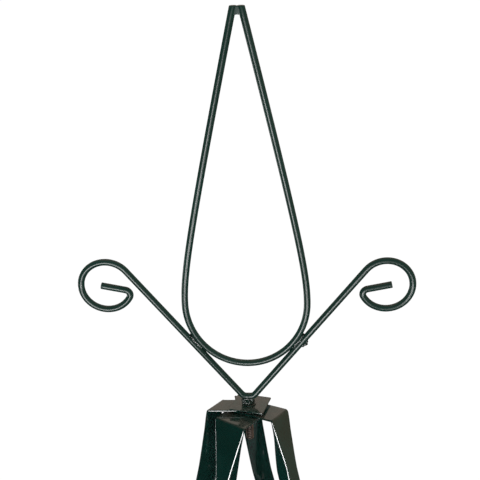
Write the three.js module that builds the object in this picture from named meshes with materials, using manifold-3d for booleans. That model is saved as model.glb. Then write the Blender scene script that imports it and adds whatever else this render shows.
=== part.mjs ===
// Garden obelisk in dark green painted steel. Millimetres, +Z up, the ground at Z = 0.
// Four legs stand at the corners of a square. Their pressed ends are folded over, stacked and held by
// one bolt, which also carries the finial. Three hoops hold the legs apart.
import * as THREE from 'three';
import { mergeVertices } from 'three/addons/utils/BufferGeometryUtils.js';
import Module from 'manifold-3d';

const wasm = await Module();
wasm.setup();

// ---------------------------------------------------------------- driving dimensions
const GAP = 0.3; // clearance between pieces that touch

const CROWN_Z = 1210; // top of the crown plate
const FOOT_RADIUS = 355; // from the centre line to a leg's outer face, at the ground

const TUBE = 16; // outer width of the square leg tube
const WALL = 1.1;
const TUBE_CORNER = 2.5;
const SPIGOT_CLEARANCE = 0.35;
const SPIGOT_LENGTH = 60;

const PRESSED_THICKNESS = 2.2; // a leg end after pressing: two walls
const TAB_BEYOND_BOLT = 13; // from the bolt to the end of the tab
const FOLD_BEND = 3; // bend radius of the outer face at the fold
const PRESSED_BEFORE_FLARE = 2; // still flat below the fold

const ROD = 6; // diameter of the finial's bar and of the hoops' bar
const ROD_SIDES = 16;
const SLIVER = 0.05; // boolean results keep no detail finer than this

const BOLT_D = 7.8;
const BOLT_BELOW_PLATE = 40;
const BOLT_HOLE_D = 8.6;
const HEAD_ACROSS_FLATS = 10.6;
const HEAD_HEIGHT = 3.8;
const WASHER_D = 14.4;
const WASHER_T = 1.2;
const PLATE_LENGTH = 34.3;
const PLATE_WIDTH = 31;
const PLATE_CENTRE = { x: 1.3, y: 0.7 }; // from the hole, which is punched a little off centre
const PLATE_T = 1.5;
const CROWN_NUT_ACROSS_FLATS = 13;
const CROWN_NUT_HEIGHT = 6;

const FINIAL_TURN = -9.5; // degrees about the bolt
const PLATE_TURN = -24;

const JOINT_Z = 600; // where the upper and lower leg lengths meet
const HOOPS = [
  { name: 'upper', z: 900 },
  { name: 'middle', z: JOINT_Z + 20 },
  { name: 'lower', z: 280 },
];
const PAD_LENGTH = 36;
const PAD_T = 2.5;
const PAD_OFFSET = 9; // hole above and bar below the middle of a pad
const HOOP_BEND = 9; // bend radius of a hoop's corners, at the middle of the bar
const WELD_SINK = 0.5; // how far the hoop's bar is sunk into its pads

const SCREW_D = 5;
const SCREW_HOLE_D = 5.8;
const SCREW_HEAD_D = 9.6;
const SCREW_HEAD_T = 2.7;
const LEG_NUT_ACROSS_FLATS = 8;
const LEG_NUT_HEIGHT = 4;
const SCREW_BEYOND_NUT = 1.6;

const FOOT_WALL = 2;
const FOOT_UP_LEG = 26;
const FOOT_END = 7.5; // height of a leg's cut end above the ground, on its outer face

// Each leg's place on the square, its level in the stack of tabs (0 is the top) and how far the tab is
// twisted about the bolt from the leg's own direction, in degrees. The leg ends were pressed and folded
// one by one, so the fold's distance from the bolt, the pressed width along the fold and the length of
// the flare from flat to the full square section differ a little.
const LEGS = [
  { name: 'left', azimuth: 135, level: 0, twist: 36, fold: 32.5, width: 25, flare: 80 },
  { name: 'right', azimuth: -45, level: 1, twist: 11, fold: 32.3, width: 26.5, flare: 56 },
  { name: 'front', azimuth: 225, level: 2, twist: 0.5, fold: 29, width: 35.5, flare: 61 },
  { name: 'back', azimuth: 45, level: 3, twist: 46, fold: 21, width: 31, flare: 96 },
];

const UP = new THREE.Vector3(0, 0, 1);
const radians = THREE.MathUtils.degToRad;

// ---------------------------------------------------------------- solids
const painted = { color: 0x0b2f27, roughness: 0.22, metalness: 0.1 };
const zinc = { color: 0x4a403b, roughness: 0.45, metalness: 0.8 };
const plastic = { color: 0x16211d, roughness: 0.55, metalness: 0 };

function toManifold(geometry) {
  const bare = geometry.index ? geometry.toNonIndexed() : geometry.clone();
  for (const name of Object.keys(bare.attributes)) {
    if (name !== 'position') bare.deleteAttribute(name);
  }
  const merged = mergeVertices(bare, 1e-4);
  return new wasm.Manifold(new wasm.Mesh({
    numProp: 3,
    vertProperties: new Float32Array(merged.attributes.position.array),
    triVerts: new Uint32Array(merged.index.array),
  }));
}

function fromManifold(solid) {
  const mesh = solid.simplify(SLIVER).getMesh();
  const geometry = new THREE.BufferGeometry();
  geometry.setAttribute('position', new THREE.BufferAttribute(mesh.vertProperties, 3));
  geometry.setIndex(new THREE.BufferAttribute(mesh.triVerts, 1));
  return geometry;
}

const subtract = (geometry, tools) =>
  fromManifold(tools.reduce((solid, tool) => solid.subtract(toManifold(tool)), toManifold(geometry)));
const unite = (geometries) =>
  fromManifold(geometries.map(toManifold).reduce((solid, other) => solid.add(other)));
const intersect = (a, b) => fromManifold(toManifold(a).intersect(toManifold(b)));

// A place with three axes of its own, as a matrix.
function frameAt(origin, x, y, z) {
  return new THREE.Matrix4().makeBasis(x, y, z).setPosition(origin);
}

function along(from, direction, distance) {
  return from.clone().addScaledVector(direction, distance);
}

// A round bar between two points.
function bar(from, to, diameter, sides = 12) {
  const direction = to.clone().sub(from);
  const geometry = new THREE.CylinderGeometry(diameter / 2, diameter / 2, direction.length(), sides);
  const turn = new THREE.Quaternion().setFromUnitVectors(
    new THREE.Vector3(0, 1, 0), direction.clone().normalize());
  geometry.applyQuaternion(turn);
  const middle = from.clone().add(to).multiplyScalar(0.5);
  return geometry.translate(middle.x, middle.y, middle.z);
}

// A prism on the Z axis, from z = 0 up, with an optional round hole.
function prism(outline, height, holeDiameter = 0, holeSides = 20) {
  if (holeDiameter > 0) {
    const hole = new THREE.Path();
    hole.absarc(0, 0, holeDiameter / 2, 0, 2 * Math.PI, true);
    outline.holes.push(hole);
  }
  return new THREE.ExtrudeGeometry(outline, {
    depth: height, bevelEnabled: false, curveSegments: holeSides,
  });
}

function hexagon(acrossFlats) {
  const radius = acrossFlats / Math.sqrt(3);
  const corners = [0, 1, 2, 3, 4, 5].map((i) => new THREE.Vector2(
    radius * Math.cos(i * Math.PI / 3), radius * Math.sin(i * Math.PI / 3)));
  return new THREE.Shape(corners);
}

function disc(diameter) {
  const shape = new THREE.Shape();
  shape.absarc(0, 0, diameter / 2, 0, 2 * Math.PI, false);
  return shape;
}

function rectangle(length, width, centre) {
  const corners = [[-1, -1], [1, -1], [1, 1], [-1, 1]].map(([x, y]) => new THREE.Vector2(
    centre.x + x * length / 2, centre.y + y * width / 2));
  return new THREE.Shape(corners);
}

// ---------------------------------------------------------------- bent round bar
// The centre line of a bar bent on a flat bench. The bench is the XZ plane. It knows its own stations:
// only the ends of a straight, and enough points round a bend.
class BentBar extends THREE.Curve {
  constructor(x, z, headingDegrees) {
    super();
    this.heading = radians(headingDegrees);
    this.points = [new THREE.Vector2(x, z)];
    this.headings = [this.heading];
  }

  straight(length) {
    this.step(length, this.heading);
    return this;
  }

  // Turns left for a positive angle, right for a negative one.
  bend(radius, degrees, stepDegrees = 15) {
    const steps = Math.max(1, Math.round(Math.abs(degrees) / stepDegrees));
    const turn = radians(degrees) / steps;
    const chord = 2 * radius * Math.sin(Math.abs(turn) / 2);
    for (let i = 0; i < steps; i += 1) {
      this.step(chord, this.heading + turn / 2);
      this.heading += turn;
      this.headings[this.headings.length - 1] = this.heading;
    }
    return this;
  }

  step(length, direction) {
    const last = this.points[this.points.length - 1];
    this.points.push(new THREE.Vector2(
      last.x + length * Math.cos(direction), last.y + length * Math.sin(direction)));
    this.headings.push(direction);
  }

  station(t) {
    return Math.round(t * (this.points.length - 1));
  }

  getPoint(t) {
    const point = this.points[this.station(t)];
    return new THREE.Vector3(point.x, 0, point.y);
  }

  getPointAt(t) {
    return this.getPoint(t);
  }

  getTangentAt(t) {
    const heading = this.headings[this.station(t)];
    return new THREE.Vector3(Math.cos(heading), 0, Math.sin(heading));
  }
}

// The same path run through its stations the other way and mirrored, then onwards: both halves of a bar.
function mirroredPair(half) {
  const whole = new BentBar(0, 0, 0);
  const back = half.points.map((p) => new THREE.Vector2(-p.x, p.y)).reverse();
  const backHeadings = half.headings.map((h) => -h).reverse();
  whole.points = [...back, ...half.points.slice(1)];
  whole.headings = [...backHeadings, ...half.headings.slice(1)];
  return whole;
}

function roundBar(path) {
  return new THREE.ExtrudeGeometry(disc(ROD), {
    steps: path.points.length - 1,
    extrudePath: path,
    bevelEnabled: false,
    curveSegments: ROD_SIDES / 2,
  });
}

// ---------------------------------------------------------- finial, drawn with Z = 0 at the plate's top
const V_BAR_Z = WASHER_T + HEAD_HEIGHT + 2 * GAP + ROD / 2;
const V_ANGLE = 51.5; // of each arm, from level
const V_LINE_Z = 2.4; // where the two arms' centre lines would meet
const SCROLL = { x: 132.3, z: 129.7, radius: 24.5 };
const HOOK_RADIUS = 5.3;
const HOOK_TAIL = 23.5;
const HOOK_TAIL_ANGLE = 11.5;

function vBar() {
  const armBend = 6;
  const cornerX = (V_BAR_Z - V_LINE_Z) / Math.tan(radians(V_ANGLE));
  const tangent = armBend * Math.tan(radians(V_ANGLE / 2));
  const touchX = SCROLL.x - SCROLL.radius * Math.sin(radians(V_ANGLE));
  const armLength = (touchX - cornerX) / Math.cos(radians(V_ANGLE)) - tangent;
  const scrollTurn = V_ANGLE + 90 + 150;
  const half = new BentBar(0, V_BAR_Z, 0)
    .straight(cornerX - tangent)
    .bend(armBend, V_ANGLE, 13)
    .straight(armLength)
    .bend(SCROLL.radius, -scrollTurn, 14)
    .bend(HOOK_RADIUS, -(360 + V_ANGLE - scrollTurn - HOOK_TAIL_ANGLE), 22)
    .straight(HOOK_TAIL);
  return roundBar(mirroredPair(half));
}

const LOOP = { bottomZ: 45.9, wideZ: 110, halfWidth: 58.3, shoulderZ: 140, lean: 0.2287 };
const TIP_Z = 388.6; // the cut-off top of the loop
const TIP_FILL = { bottomZ: 380.8, width: 7.5, depth: 5.4 };

// The teardrop: half an ellipse below, and a side that starts upright and ends straight at the tip.
class LoopHalf extends THREE.Curve {
  constructor() {
    super();
    const straightFromZ = 178;
    const topZ = TIP_Z + 2;
    const sideX = (z) => 8.15 - (z - 368) * LOOP.lean;
    this.side = new THREE.CubicBezierCurve(
      new THREE.Vector2(LOOP.halfWidth, LOOP.wideZ),
      new THREE.Vector2(LOOP.halfWidth, LOOP.shoulderZ),
      new THREE.Vector2(sideX(straightFromZ), straightFromZ),
      new THREE.Vector2(sideX(topZ), topZ));
  }

  bottom(angle) {
    return new THREE.Vector2(
      LOOP.halfWidth * Math.sin(angle), LOOP.wideZ - (LOOP.wideZ - LOOP.bottomZ) * Math.cos(angle));
  }
}

function loopPath() {
  const half = new LoopHalf();
  const bottomSteps = 11;
  const sideSteps = 15;
  const points = [];
  for (let i = 0; i < bottomSteps; i += 1) points.push(half.bottom(i / bottomSteps * Math.PI / 2));
  for (let i = 0; i <= sideSteps; i += 1) points.push(half.side.getPoint(i / sideSteps));
  const path = new BentBar(0, 0, 0);
  path.points = points;
  path.headings = points.map((point, i) => {
    const before = i === 0 ? new THREE.Vector2(-points[1].x, points[1].y) : points[i - 1];
    const after = points[Math.min(i + 1, points.length - 1)];
    return Math.atan2(after.y - before.y, after.x - before.x);
  });
  return mirroredPair(path);
}

function loop() {
  const height = TIP_Z - TIP_FILL.bottomZ;
  const fill = new THREE.BoxGeometry(TIP_FILL.width, TIP_FILL.depth, height);
  fill.translate(0, 0, TIP_Z - height / 2);
  const above = new THREE.BoxGeometry(60, 60, 40);
  above.translate(0, 0, TIP_Z + 20);
  return subtract(unite([roundBar(loopPath()), fill]), [above]);
}

function finialBolt() {
  const head = prism(hexagon(HEAD_ACROSS_FLATS), HEAD_HEIGHT);
  head.translate(0, 0, WASHER_T + GAP);
  const headTop = WASHER_T + GAP + HEAD_HEIGHT;
  const shankLength = BOLT_BELOW_PLATE + headTop - 1;
  const shank = prism(disc(BOLT_D), shankLength, 0, 20);
  shank.translate(0, 0, -BOLT_BELOW_PLATE);
  return unite([head, shank]);
}

// ---------------------------------------------------------------- legs
const TAB_PITCH = PRESSED_THICKNESS + GAP;
const CORNER_STEPS = 3;

// A rounded rectangle as points: x across the leg, y inward from the outer face.
function tubeSection(width, thickness, corner) {
  const r = Math.min(corner, thickness * 0.45);
  const centres = [
    [width / 2 - r, r, -90], [width / 2 - r, thickness - r, 0],
    [-width / 2 + r, thickness - r, 90], [-width / 2 + r, r, 180],
  ];
  const points = [];
  for (const [x, y, start] of centres) {
    for (let i = 0; i <= CORNER_STEPS; i += 1) {
      const angle = radians(start + 90 * i / CORNER_STEPS);
      points.push([x + r * Math.cos(angle), y + r * Math.sin(angle)]);
    }
  }
  return points;
}

// A section placed in space: origin on the outer face, x across, y inward.
function ring(section, origin, across, inward) {
  return section.map(([x, y]) => along(along(origin, across, x), inward, y));
}

// A closed skin through a row of rings with equal numbers of points, which run clockwise seen from behind
// the row. A looped skin joins its last ring to its first, and an open one is capped at both ends.
function skin(rings, looped = false) {
  const count = rings[0].length;
  const points = rings.flat();
  const index = [];
  const last = looped ? rings.length : rings.length - 1;
  for (let k = 0; k < last; k += 1) {
    const a = k * count;
    const b = ((k + 1) % rings.length) * count;
    for (let i = 0; i < count; i += 1) {
      const j = (i + 1) % count;
      index.push(a + i, b + j, a + j, a + i, b + i, b + j);
    }
  }
  if (!looped) {
    const start = 0;
    const end = (rings.length - 1) * count;
    for (let i = 1; i < count - 1; i += 1) {
      index.push(start, start + i, start + i + 1);
      index.push(end, end + i + 1, end + i);
    }
  }
  const geometry = new THREE.BufferGeometry();
  geometry.setAttribute('position', new THREE.BufferAttribute(
    new Float32Array(points.flatMap((p) => [p.x, p.y, p.z])), 3));
  geometry.setIndex(index);
  return geometry;
}

// Everything about one leg's run, from the stack of tabs to the ground.
function legRun(leg) {
  const azimuth = radians(leg.azimuth);
  const outward = new THREE.Vector3(Math.cos(azimuth), Math.sin(azimuth), 0);
  const side = new THREE.Vector3(-Math.sin(azimuth), Math.cos(azimuth), 0);
  const twist = radians(leg.twist);
  const tabDirection = outward.clone().multiplyScalar(Math.cos(twist))
    .addScaledVector(side, Math.sin(twist));
  const tabTop = CROWN_Z - PLATE_T - GAP - leg.level * TAB_PITCH;
  const foldStart = tabDirection.clone().multiplyScalar(leg.fold).setZ(tabTop);
  const foot = outward.clone().multiplyScalar(FOOT_RADIUS);

  const drop = tabTop - FOLD_BEND;
  const reach = FOOT_RADIUS - (foldStart.dot(outward) + FOLD_BEND);
  const splay = Math.atan2(reach, drop);
  const foldPoint = (angle) => along(
    along(foldStart, outward, FOLD_BEND * Math.sin(angle)), UP, -FOLD_BEND * (1 - Math.cos(angle)));
  const foldAngle = Math.PI / 2 - splay;
  const top = foldPoint(foldAngle);
  const down = foot.clone().sub(top).normalize();
  const across = side.clone().addScaledVector(down, -side.dot(down)).normalize();
  const inward = new THREE.Vector3().crossVectors(down, across).normalize();
  if (inward.dot(outward) > 0) inward.negate();
  return {
    leg, outward, side, tabDirection, tabTop, foldStart, foldPoint, foldAngle, top, down, across, inward,
  };
}

const distanceToZ = (run, z) => (run.top.z - z) / -run.down.z;

// The pressed end, the fold and the flare down to the full square section, as rings.
function pressedRings(run) {
  const tabAcross = new THREE.Vector3().crossVectors(UP, run.tabDirection);
  const { width: pressedWidth, flare, twist } = run.leg;
  const straightWidth = pressedWidth * Math.cos(radians(twist));
  const pressed = (width) => tubeSection(width, PRESSED_THICKNESS, TUBE_CORNER);
  const intoMetal = UP.clone().negate();
  const tabEnd = run.tabDirection.clone().multiplyScalar(-TAB_BEYOND_BOLT).setZ(run.tabTop);
  const rings = [
    ring(pressed(straightWidth), tabEnd, tabAcross, intoMetal),
    ring(pressed(pressedWidth), run.foldStart, run.side, intoMetal),
  ];
  const foldSteps = 5;
  for (let i = 1; i <= foldSteps; i += 1) {
    const angle = run.foldAngle * i / foldSteps;
    const inward = run.outward.clone().multiplyScalar(-Math.sin(angle))
      .addScaledVector(UP, -Math.cos(angle));
    rings.push(ring(pressed(pressedWidth), run.foldPoint(angle), run.side, inward));
  }
  const flareSteps = 7;
  for (let i = 0; i <= flareSteps; i += 1) {
    const t = i / flareSteps;
    const eased = t * t * (3 - 2 * t) * 0.35 + t * 0.65;
    const thickness = THREE.MathUtils.lerp(PRESSED_THICKNESS, TUBE, eased);
    const width = THREE.MathUtils.lerp(pressedWidth, TUBE, eased);
    const origin = along(run.top, run.down, PRESSED_BEFORE_FLARE + flare * t);
    rings.push(ring(tubeSection(width, thickness, TUBE_CORNER), origin, run.across, run.inward));
  }
  return rings;
}

// One ring of plain tube, or of a smaller tube inside it, at a distance down the leg.
function tubeRing(run, distance, inset = 0) {
  const section = tubeSection(TUBE - 2 * inset, TUBE - 2 * inset, Math.max(TUBE_CORNER - inset, 0.5));
  const origin = along(along(run.top, run.down, distance), run.inward, inset);
  return ring(section, origin, run.across, run.inward);
}

// A drill straight through both walls of a leg, at a distance down it.
function legDrill(run, distance, diameter) {
  const centre = along(run.top, run.down, distance);
  return bar(along(centre, run.inward, -5), along(centre, run.inward, TUBE + 5), diameter);
}

const screwDistance = (run, hoop) => distanceToZ(run, hoop.z) - PAD_OFFSET;

function upperLeg(run) {
  const joint = distanceToZ(run, JOINT_Z);
  const hollowTop = PRESSED_BEFORE_FLARE + run.leg.flare + 1;
  const rings = [
    ...pressedRings(run),
    tubeRing(run, joint),
    tubeRing(run, joint, WALL),
    tubeRing(run, hollowTop, WALL),
  ];
  const bolt = new THREE.Vector3(0, 0, CROWN_Z);
  const boltDrill = bar(along(bolt, UP, -25), along(bolt, UP, 5), BOLT_HOLE_D, 16);
  const screws = HOOPS.filter((hoop) => hoop.z > JOINT_Z)
    .map((hoop) => legDrill(run, screwDistance(run, hoop), SCREW_HOLE_D));
  return subtract(skin(rings), [boltDrill, ...screws]);
}

function lowerLeg(run) {
  const joint = distanceToZ(run, JOINT_Z) + GAP;
  const end = distanceToZ(run, FOOT_END);
  const spigotTop = joint - SPIGOT_LENGTH;
  const spigotInset = WALL + SPIGOT_CLEARANCE;
  const rings = [
    tubeRing(run, spigotTop, spigotInset),
    tubeRing(run, joint, spigotInset),
    tubeRing(run, joint),
    tubeRing(run, end),
    tubeRing(run, end, WALL),
    tubeRing(run, joint + 4, WALL),
    tubeRing(run, joint, spigotInset + WALL),
    tubeRing(run, spigotTop, spigotInset + WALL),
  ];
  const screws = HOOPS.filter((hoop) => hoop.z < JOINT_Z || screwDistance(run, hoop) > spigotTop)
    .map((hoop) => legDrill(run, screwDistance(run, hoop), SCREW_HOLE_D));
  return subtract(skin(rings, true), screws);
}

// A moulded cap that the leg's end stands in, cut level with the ground.
function foot(run) {
  const end = distanceToZ(run, FOOT_END);
  const pocket = TUBE + 2 * GAP;
  const outer = pocket + 2 * FOOT_WALL;
  const centreLine = along(run.top, run.inward, TUBE / 2);
  const block = (side, from, to) => {
    const box = new THREE.BoxGeometry(side, side, to - from);
    return box.applyMatrix4(frameAt(
      along(centreLine, run.down, (from + to) / 2), run.across, run.inward,
      new THREE.Vector3().crossVectors(run.across, run.inward)));
  };
  const lip = end - FOOT_UP_LEG;
  const cap = subtract(block(outer, lip, end + 40), [block(pocket, lip - 5, end + GAP)]);
  const aboveGround = new THREE.BoxGeometry(1000, 1000, 200);
  aboveGround.translate(0, 0, 100);
  return intersect(cap, aboveGround);
}

// ---------------------------------------------------------------- hoops and their screws
// The inner face of a pad, at its middle.
function padMiddle(run, hoop) {
  const centre = along(run.top, run.down, distanceToZ(run, hoop.z));
  return along(centre, run.inward, TUBE + GAP + PAD_T);
}

// A round bar bent into a closed hoop through four square corners.
function bentHoop(corners) {
  const sides = 10;
  const bendSteps = 4;
  const rings = [];
  corners.forEach((corner, i) => {
    const before = corners[(i + corners.length - 1) % corners.length];
    const after = corners[(i + 1) % corners.length];
    const arriving = corner.clone().sub(before).normalize();
    const leaving = after.clone().sub(corner).normalize();
    const turned = along(leaving, arriving, -leaving.dot(arriving)).normalize();
    const start = along(corner, arriving, -HOOP_BEND);
    for (let k = 0; k <= bendSteps; k += 1) {
      const angle = k / bendSteps * Math.PI / 2;
      const centre = along(along(start, arriving, HOOP_BEND * Math.sin(angle)),
        turned, HOOP_BEND * (1 - Math.cos(angle)));
      const inwards = turned.clone().multiplyScalar(Math.cos(angle))
        .addScaledVector(arriving, -Math.sin(angle));
      const upright = new THREE.Vector3().crossVectors(arriving, turned);
      const points = [];
      for (let n = 0; n < sides; n += 1) {
        const around = 2 * Math.PI * (n + 0.5) / sides;
        points.push(along(along(centre, inwards, ROD / 2 * Math.cos(around)),
          upright, -ROD / 2 * Math.sin(around)));
      }
      rings.push(points);
    }
  });
  return skin(rings, true);
}

function hoopSolid(hoop, runs) {
  const pads = runs.map((run) => {
    const box = new THREE.BoxGeometry(TUBE, PAD_T, PAD_LENGTH);
    box.applyMatrix4(frameAt(
      along(padMiddle(run, hoop), run.inward, -PAD_T / 2), run.across, run.inward,
      new THREE.Vector3().crossVectors(run.across, run.inward)));
    return subtract(box, [legDrill(run, screwDistance(run, hoop), SCREW_HOLE_D)]);
  });
  const reach = HOOP_BEND * (Math.SQRT2 - 1); // from the arc of a bend out to its square corner
  const corners = runs.map((run) => along(
    along(padMiddle(run, hoop), run.inward, ROD / 2 - WELD_SINK - reach), run.down, PAD_OFFSET));
  return unite([bentHoop(corners), ...pads]);
}

// A place on a leg's outer face with Z into the leg, for what is screwed through it.
function screwFrame(run, hoop) {
  const origin = along(run.top, run.down, screwDistance(run, hoop));
  return frameAt(origin, run.across, new THREE.Vector3().crossVectors(run.inward, run.across), run.inward);
}

const NUT_START = TUBE + GAP + PAD_T + GAP;

// A button-headed screw, turned about Z: a domed head outside the leg and a plain shank.
function legScrew() {
  const end = NUT_START + LEG_NUT_HEIGHT + SCREW_BEYOND_NUT;
  const profile = [
    new THREE.Vector2(0, -SCREW_HEAD_T - GAP),
    new THREE.Vector2(SCREW_HEAD_D * 0.28, -SCREW_HEAD_T * 0.93 - GAP),
    new THREE.Vector2(SCREW_HEAD_D * 0.44, -SCREW_HEAD_T * 0.6 - GAP),
    new THREE.Vector2(SCREW_HEAD_D / 2, -GAP),
    new THREE.Vector2(SCREW_D / 2, -GAP),
    new THREE.Vector2(SCREW_D / 2, end),
    new THREE.Vector2(0, end),
  ];
  return new THREE.LatheGeometry(profile, 12).rotateX(Math.PI / 2);
}

function legNut() {
  const nut = prism(hexagon(LEG_NUT_ACROSS_FLATS), LEG_NUT_HEIGHT, SCREW_D + 2 * GAP, 6);
  return nut.translate(0, 0, NUT_START);
}

// ---------------------------------------------------------------- assembly
const obelisk = new THREE.Group();

function addMesh(parent, name, geometry, finish, matrix = null) {
  const mesh = new THREE.Mesh(geometry, new THREE.MeshStandardMaterial(finish));
  mesh.name = name;
  if (matrix) matrix.decompose(mesh.position, mesh.quaternion, mesh.scale);
  parent.add(mesh);
  return mesh;
}

const crown = new THREE.Group();
crown.position.z = CROWN_Z;
obelisk.add(crown);

const finial = new THREE.Group();
finial.rotation.z = radians(FINIAL_TURN);
crown.add(finial);
addMesh(finial, 'finial_loop', loop(), painted);
addMesh(finial, 'finial_v_bar', vBar(), painted);
addMesh(finial, 'finial_bolt', finialBolt(), zinc);

const washer = prism(disc(WASHER_D), WASHER_T, BOLT_HOLE_D, 12);
addMesh(crown, 'finial_washer', washer, painted).position.z = GAP / 2;

const plateOutline = rectangle(PLATE_LENGTH, PLATE_WIDTH, PLATE_CENTRE);
const plate = addMesh(crown, 'crown_plate', prism(plateOutline, PLATE_T, BOLT_HOLE_D, 10), painted);
plate.position.z = -PLATE_T;
plate.rotation.z = radians(PLATE_TURN);

const stackBottom = -PLATE_T - GAP - LEGS.length * TAB_PITCH;
const lowerWasher = prism(disc(WASHER_D + 3), WASHER_T + 0.4, BOLT_HOLE_D, 12);
addMesh(crown, 'crown_lower_washer', lowerWasher, zinc).position.z = stackBottom - WASHER_T - 0.4;
const crownNut = prism(hexagon(CROWN_NUT_ACROSS_FLATS), CROWN_NUT_HEIGHT, BOLT_D + 2 * GAP, 10);
const nut = addMesh(crown, 'crown_nut', crownNut, zinc);
nut.position.z = stackBottom - WASHER_T - 0.4 - GAP - CROWN_NUT_HEIGHT;
nut.rotation.z = radians(20);

const runs = LEGS.map(legRun);
for (const run of runs) {
  addMesh(obelisk, `leg_upper_${run.leg.name}`, upperLeg(run), painted);
  addMesh(obelisk, `leg_lower_${run.leg.name}`, lowerLeg(run), painted);
  addMesh(obelisk, `foot_${run.leg.name}`, foot(run), plastic);
}

const aroundTheSquare = [...runs].sort((a, b) => (a.leg.azimuth + 360) % 360 - (b.leg.azimuth + 360) % 360);
for (const hoop of HOOPS) {
  addMesh(obelisk, `hoop_${hoop.name}`, hoopSolid(hoop, aroundTheSquare), painted);
  for (const run of runs) {
    const place = screwFrame(run, hoop);
    addMesh(obelisk, `screw_${hoop.name}_${run.leg.name}`, legScrew(), zinc, place);
    addMesh(obelisk, `nut_${hoop.name}_${run.leg.name}`, legNut(), zinc, place);
  }
}

export default obelisk;
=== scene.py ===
"""Garden obelisk in dark green gloss paint: the crown, finial, legs, hoops, fixings and feet."""
import math
import random

import bmesh
import bpy
from mathutils import Matrix, Vector


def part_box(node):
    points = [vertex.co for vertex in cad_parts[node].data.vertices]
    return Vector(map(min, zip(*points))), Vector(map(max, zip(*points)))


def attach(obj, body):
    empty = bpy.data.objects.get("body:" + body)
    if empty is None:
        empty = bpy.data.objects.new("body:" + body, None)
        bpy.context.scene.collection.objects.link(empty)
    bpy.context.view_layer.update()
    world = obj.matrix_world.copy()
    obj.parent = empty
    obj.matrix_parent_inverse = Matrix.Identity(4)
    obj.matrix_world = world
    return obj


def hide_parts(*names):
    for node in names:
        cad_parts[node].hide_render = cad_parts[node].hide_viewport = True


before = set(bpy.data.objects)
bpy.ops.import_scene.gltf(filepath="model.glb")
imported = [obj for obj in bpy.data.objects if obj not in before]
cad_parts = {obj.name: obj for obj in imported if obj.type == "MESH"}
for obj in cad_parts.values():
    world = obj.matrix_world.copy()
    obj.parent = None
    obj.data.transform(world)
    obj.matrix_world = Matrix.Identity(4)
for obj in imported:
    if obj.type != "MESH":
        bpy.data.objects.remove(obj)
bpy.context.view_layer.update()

# ---------------------------------------------------------------- dimensions, in millimetres and degrees
MM = 0.001
UP = Vector((0, 0, 1))
GAP = 0.3  # clearance between pieces that touch

CROWN_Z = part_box("crown_plate")[1].z / MM
FOOT_RADIUS = 355
TUBE = 16
WALL = 1.1
TUBE_CORNER = 2.5
SPIGOT_CLEARANCE = 0.35
SPIGOT_LENGTH = 60

PRESSED_THICKNESS = 2.2
TAB_BEYOND_BOLT = 13
FOLD_BEND = 3
PRESSED_BEFORE_FLARE = 2
TAB_PITCH = PRESSED_THICKNESS + GAP

ROD = 6
ENAMEL = 0.22  # how much further out the finial's bars are drawn than their solids, all round
BOLT_D = 7.8
BOLT_BELOW_PLATE = 40
BOLT_HOLE_D = 8.6
THREAD_PITCH = 2.0  # coarser and deeper than a real thread of this diameter, so that the turns show
THREAD_DEPTH = 0.9
NECK_Z = -11.0  # the thread runs from here to the bolt's end
HEAD_ACROSS_FLATS = 10.6
HEAD_HEIGHT = 3.8
WASHER_D = 14.4
WASHER_T = 1.2
PLATE_LENGTH = 34.3
PLATE_WIDTH = 31
PLATE_CENTRE = (1.3, 0.7)
PLATE_T = 1.5
CROWN_NUT_ACROSS_FLATS = 13
CROWN_NUT_HEIGHT = 6
FINIAL_TURN = -9.5
PLATE_TURN = -24

JOINT_Z = 600
HOOPS = {"upper": 900, "middle": JOINT_Z + 20, "lower": 280}
PAD_LENGTH = 36
PAD_T = 2.5
PAD_OFFSET = 9
HOOP_BEND = 9
WELD_SINK = 0.5

SCREW_D = 5
SCREW_HOLE_D = 5.8
SCREW_HEAD_D = 9.6
SCREW_HEAD_T = 2.7
LEG_NUT_ACROSS_FLATS = 8
LEG_NUT_HEIGHT = 4
SCREW_BEYOND_NUT = 1.6
NUT_START = TUBE + GAP + PAD_T + GAP

FOOT_WALL = 2
FOOT_UP_LEG = 26
FOOT_END = 7.5

# Each leg's place on the square, its level in the stack of tabs, and how its end was pressed and folded.
LEGS = [
    {"name": "left", "azimuth": 135, "level": 0, "twist": 36, "fold": 32.5, "width": 25, "flare": 80},
    {"name": "right", "azimuth": -45, "level": 1, "twist": 11, "fold": 32.3, "width": 26.5, "flare": 56},
    {"name": "front", "azimuth": 225, "level": 2, "twist": 0.5, "fold": 29, "width": 35.5, "flare": 61},
    {"name": "back", "azimuth": 45, "level": 3, "twist": 46, "fold": 21, "width": 31, "flare": 96},
]


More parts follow.
